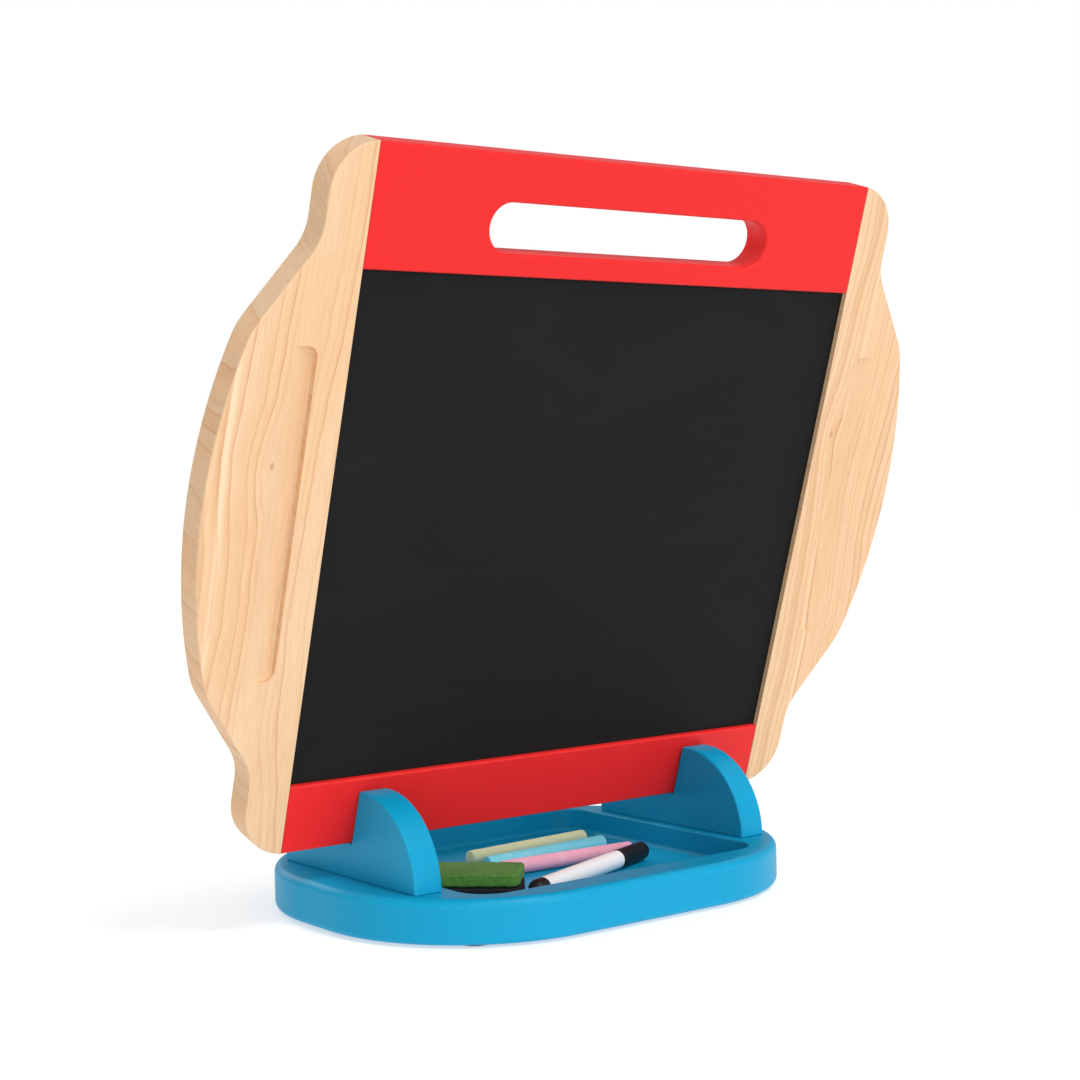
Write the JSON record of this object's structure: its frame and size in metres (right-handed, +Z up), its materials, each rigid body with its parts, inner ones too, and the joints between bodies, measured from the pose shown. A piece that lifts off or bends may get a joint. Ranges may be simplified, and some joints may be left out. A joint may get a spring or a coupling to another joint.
{
  "type": "tabletop children's easel",
  "caption": "Child's tabletop easel: a base with a tray and notched fins holds a forward-leaning framed chalkboard with side grips and a handle slot; chalk, eraser and marker in the tray.",
  "frame": {"origin": "table level, under the middle of the base", "axes": "+Z up, +X to the right of a child who stands in front, and the child stands on the -Y side"},
  "size_m": [0.4964, 0.236, 0.4238],
  "materials": {
    "blue_paint": "smooth satin paint over wood",
    "red_paint": "smooth satin paint over wood",
    "maple": "clear matt lacquer over pale straight-grained wood",
    "chalkboard": "matt black writing surface on fibreboard",
    "whiteboard": "glossy white wipe-clean surface on fibreboard",
    "beech": "fluted and unfinished",
    "screw_steel": "zinc plated",
    "pad_rubber": "matt",
    "yellow_chalk": "matt, powdery",
    "blue_chalk": "matt, powdery",
    "pink_chalk": "matt, powdery",
    "black_foam": "matt",
    "green_felt": "dense wool felt",
    "black_plastic": "satin",
    "white_plastic": "satin",
    "ink_fibre": "fibre",
    "nib_felt": "inked felt"
  },
  "bodies": {
    "base": {"base_tray": "blue_paint", "left_fin": "blue_paint", "right_fin": "blue_paint", "front_left_fin_screw": "screw_steel", "rear_left_fin_screw": "screw_steel", "front_right_fin_screw": "screw_steel", "rear_right_fin_screw": "screw_steel", "front_left_pad": "pad_rubber", "rear_left_pad": "pad_rubber", "front_right_pad": "pad_rubber", "rear_right_pad": "pad_rubber"},
    "board": {"top_rail": "red_paint", "bottom_rail": "red_paint", "left_side_rail": "maple", "right_side_rail": "maple", "chalkboard_panel": "chalkboard", "whiteboard_panel": "whiteboard", "left_dowel_1": "beech", "left_dowel_2": "beech", "left_dowel_3": "beech", "left_dowel_4": "beech", "right_dowel_1": "beech", "right_dowel_2": "beech", "right_dowel_3": "beech", "right_dowel_4": "beech"},
    "yellow_chalk": {"chalk_yellow": "yellow_chalk"},
    "blue_chalk": {"chalk_blue": "blue_chalk"},
    "pink_chalk": {"chalk_pink": "pink_chalk"},
    "eraser": {"eraser_back": "black_foam", "eraser_felt": "green_felt"},
    "marker": {"marker_end_plug": "black_plastic", "marker_barrel": "white_plastic", "marker_ink_core": "ink_fibre", "marker_nib": "nib_felt"},
    "cap": {"marker_cap": "black_plastic"}
  },
  "joints": [
    {"name": "board_lift", "type": "slide", "parent": "base", "child": "board", "axis": [0, -0.299, 0.9542], "range_m": [0, 0.04]},
    {"name": "eraser_lift", "type": "slide", "parent": "base", "child": "eraser", "axis": [0, 0, 1], "range_m": [0, 0.0165]},
    {"name": "chalk_yellow_lift", "type": "slide", "parent": "base", "child": "yellow_chalk", "axis": [0, 0, 1], "range_m": [0, 0.025]},
    {"name": "chalk_blue_lift", "type": "slide", "parent": "base", "child": "blue_chalk", "axis": [0, 0, 1], "range_m": [0, 0.02]},
    {"name": "chalk_pink_lift", "type": "slide", "parent": "base", "child": "pink_chalk", "axis": [0, 0, 1], "range_m": [0, 0.018]},
    {"name": "marker_lift", "type": "slide", "parent": "base", "child": "marker", "axis": [0, 0, 1], "range_m": [0, 0.025]},
    {"name": "cap_pull", "type": "slide", "parent": "marker", "child": "cap", "axis": [0.9336, 0.3584, 0], "range_m": [0, 0.022]}
  ]
}
